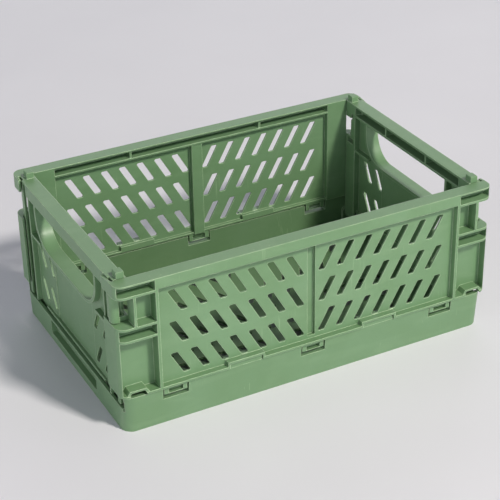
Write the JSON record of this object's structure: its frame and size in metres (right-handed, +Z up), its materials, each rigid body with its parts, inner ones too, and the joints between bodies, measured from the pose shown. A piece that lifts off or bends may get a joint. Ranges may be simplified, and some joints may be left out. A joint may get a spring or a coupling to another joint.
{
  "type": "collapsible storage crate",
  "caption": "Small open-topped collapsible storage crate: shallow slotted tray, two slotted long walls and two handled end walls hinged to it, latches and stacking lugs.",
  "frame": {"origin": "middle of the footprint, on the ground", "axes": "+X along the crate towards its right end wall, +Y across it towards its back wall, +Z up"},
  "size_m": [0.25, 0.165, 0.1035],
  "materials": {
    "tray_plastic": "satin moulded polypropylene, sage green",
    "wall_plastic": "satin moulded polypropylene, sage green",
    "latch_plastic": "satin moulded polypropylene, sage green"
  },
  "bodies": {
    "base_tray": {"base_tray": "tray_plastic"},
    "front_wall": {"front_wall": "wall_plastic"},
    "back_wall": {"back_wall": "wall_plastic"},
    "left_end_wall": {"left_end_wall": "wall_plastic"},
    "right_end_wall": {"right_end_wall": "wall_plastic"},
    "front_left_latch": {"front_left_latch": "latch_plastic"},
    "back_right_latch": {"back_right_latch": "latch_plastic"}
  },
  "joints": [
    {"name": "left_end_fold", "type": "hinge", "parent": "base_tray", "child": "left_end_wall", "pos_m": [-0.118, 0, 0.011], "axis": [0, 1, 0], "range_deg": [0, 90]},
    {"name": "right_end_fold", "type": "hinge", "parent": "base_tray", "child": "right_end_wall", "pos_m": [0.118, 0, 0.011], "axis": [0, -1, 0], "range_deg": [0, 90]},
    {"name": "front_wall_fold", "type": "hinge", "parent": "base_tray", "child": "front_wall", "pos_m": [0, -0.0776, 0.0222], "axis": [-1, 0, 0], "range_deg": [0, 0.4]},
    {"name": "back_wall_fold", "type": "hinge", "parent": "base_tray", "child": "back_wall", "pos_m": [0, 0.0776, 0.0222], "axis": [1, 0, 0], "range_deg": [0, 0.4]},
    {"name": "front_left_latch_flex", "type": "hinge", "parent": "front_wall", "child": "front_left_latch", "pos_m": [-0.1226, -0.0746, 0.0906], "axis": [-1, 0, 0], "range_deg": [0, 5]},
    {"name": "back_right_latch_flex", "type": "hinge", "parent": "back_wall", "child": "back_right_latch", "pos_m": [0.1226, 0.0746, 0.0906], "axis": [1, 0, 0], "range_deg": [0, 5]}
  ]
}
